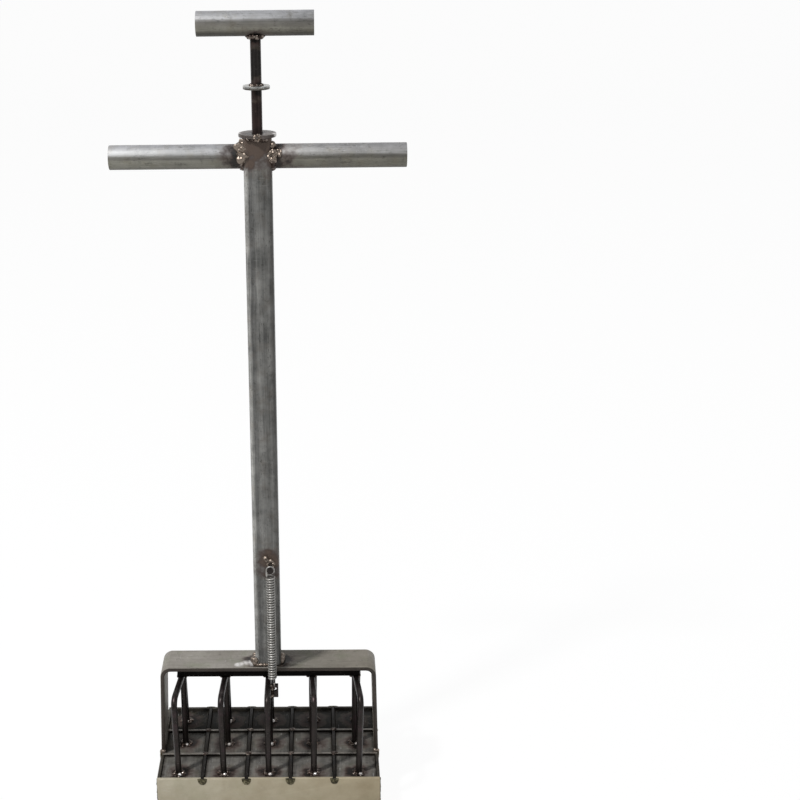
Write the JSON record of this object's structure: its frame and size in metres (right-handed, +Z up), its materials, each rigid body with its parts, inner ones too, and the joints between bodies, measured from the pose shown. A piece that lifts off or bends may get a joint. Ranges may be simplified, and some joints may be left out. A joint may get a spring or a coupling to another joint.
{
  "type": "soil blocker",
  "caption": "Standing hand soil blocker: open steel grid mould on a hooped post with cross handles, and a spring-returned push rod whose plates press the blocks out.",
  "frame": {"origin": "on the ground, in the middle of the mould's open bottom rim", "axes": "+X along the cross handles to the right as seen from the spring's side, +Y from the front (spring side) to the back, +Z up along the post"},
  "size_m": [0.266, 0.134, 0.7723],
  "materials": {
    "mill_steel": "bare mild steel with grey-olive mill scale, rubbed and streaked",
    "galvanised_pipe": "galvanised, semi-gloss, lightly scratched",
    "black_rod": "dark brown-black mill scale",
    "zinc_plated": "bright zinc plate, dulled by heat near the welds",
    "weld_metal": "rough weld metal, burnt brown with bright spots",
    "spring_steel": "bright drawn wire"
  },
  "bodies": {
    "mould_frame": {"anchor_stud": "zinc_plated", "anchor_weld": "weld_metal", "back_wall": "mill_steel", "column_divider_1": "mill_steel", "column_divider_2": "mill_steel", "column_divider_3": "mill_steel", "column_divider_4": "mill_steel", "corner_welds": "weld_metal", "crossing_tacks": "weld_metal", "ear_welds": "weld_metal", "front_wall": "mill_steel", "guide_washer": "zinc_plated", "handle_welds": "weld_metal", "hoop": "mill_steel", "hoop_foot_welds": "weld_metal", "left_handle": "galvanised_pipe", "left_wall": "mill_steel", "post": "mill_steel", "post_foot_welds": "weld_metal", "return_spring": "spring_steel", "right_handle": "galvanised_pipe", "right_wall": "mill_steel", "row_divider_1": "mill_steel", "row_divider_2": "mill_steel"},
    "ejector": {"crossbar": "black_rod", "grip_pipe": "galvanised_pipe", "middle_leg_1": "black_rod", "middle_leg_2": "black_rod", "middle_leg_3": "black_rod", "middle_leg_4": "black_rod", "middle_leg_5": "black_rod", "plate_back_1": "mill_steel", "plate_back_2": "mill_steel", "plate_back_3": "mill_steel", "plate_back_4": "mill_steel", "plate_back_5": "mill_steel", "plate_front_1": "mill_steel", "plate_front_2": "mill_steel", "plate_front_3": "mill_steel", "plate_front_4": "mill_steel", "plate_front_5": "mill_steel", "plate_middle_1": "mill_steel", "plate_middle_2": "mill_steel", "plate_middle_3": "mill_steel", "plate_middle_4": "mill_steel", "plate_middle_5": "mill_steel", "plate_welds": "weld_metal", "push_rod": "black_rod", "rod_welds": "weld_metal", "spring_lug": "black_rod", "staple_1": "black_rod", "staple_2": "black_rod", "staple_3": "black_rod", "staple_4": "black_rod", "staple_5": "black_rod", "staple_welds": "weld_metal", "stop_washer": "zinc_plated"}
  },
  "joints": [
    {"name": "ejector_slide", "type": "slide", "parent": "mould_frame", "child": "ejector", "axis": [0, 0, -1], "range_m": [0, 0.039], "stiffness_N_per_m": 900, "springref_m": -0.035, "deforming": ["return_spring"]}
  ]
}
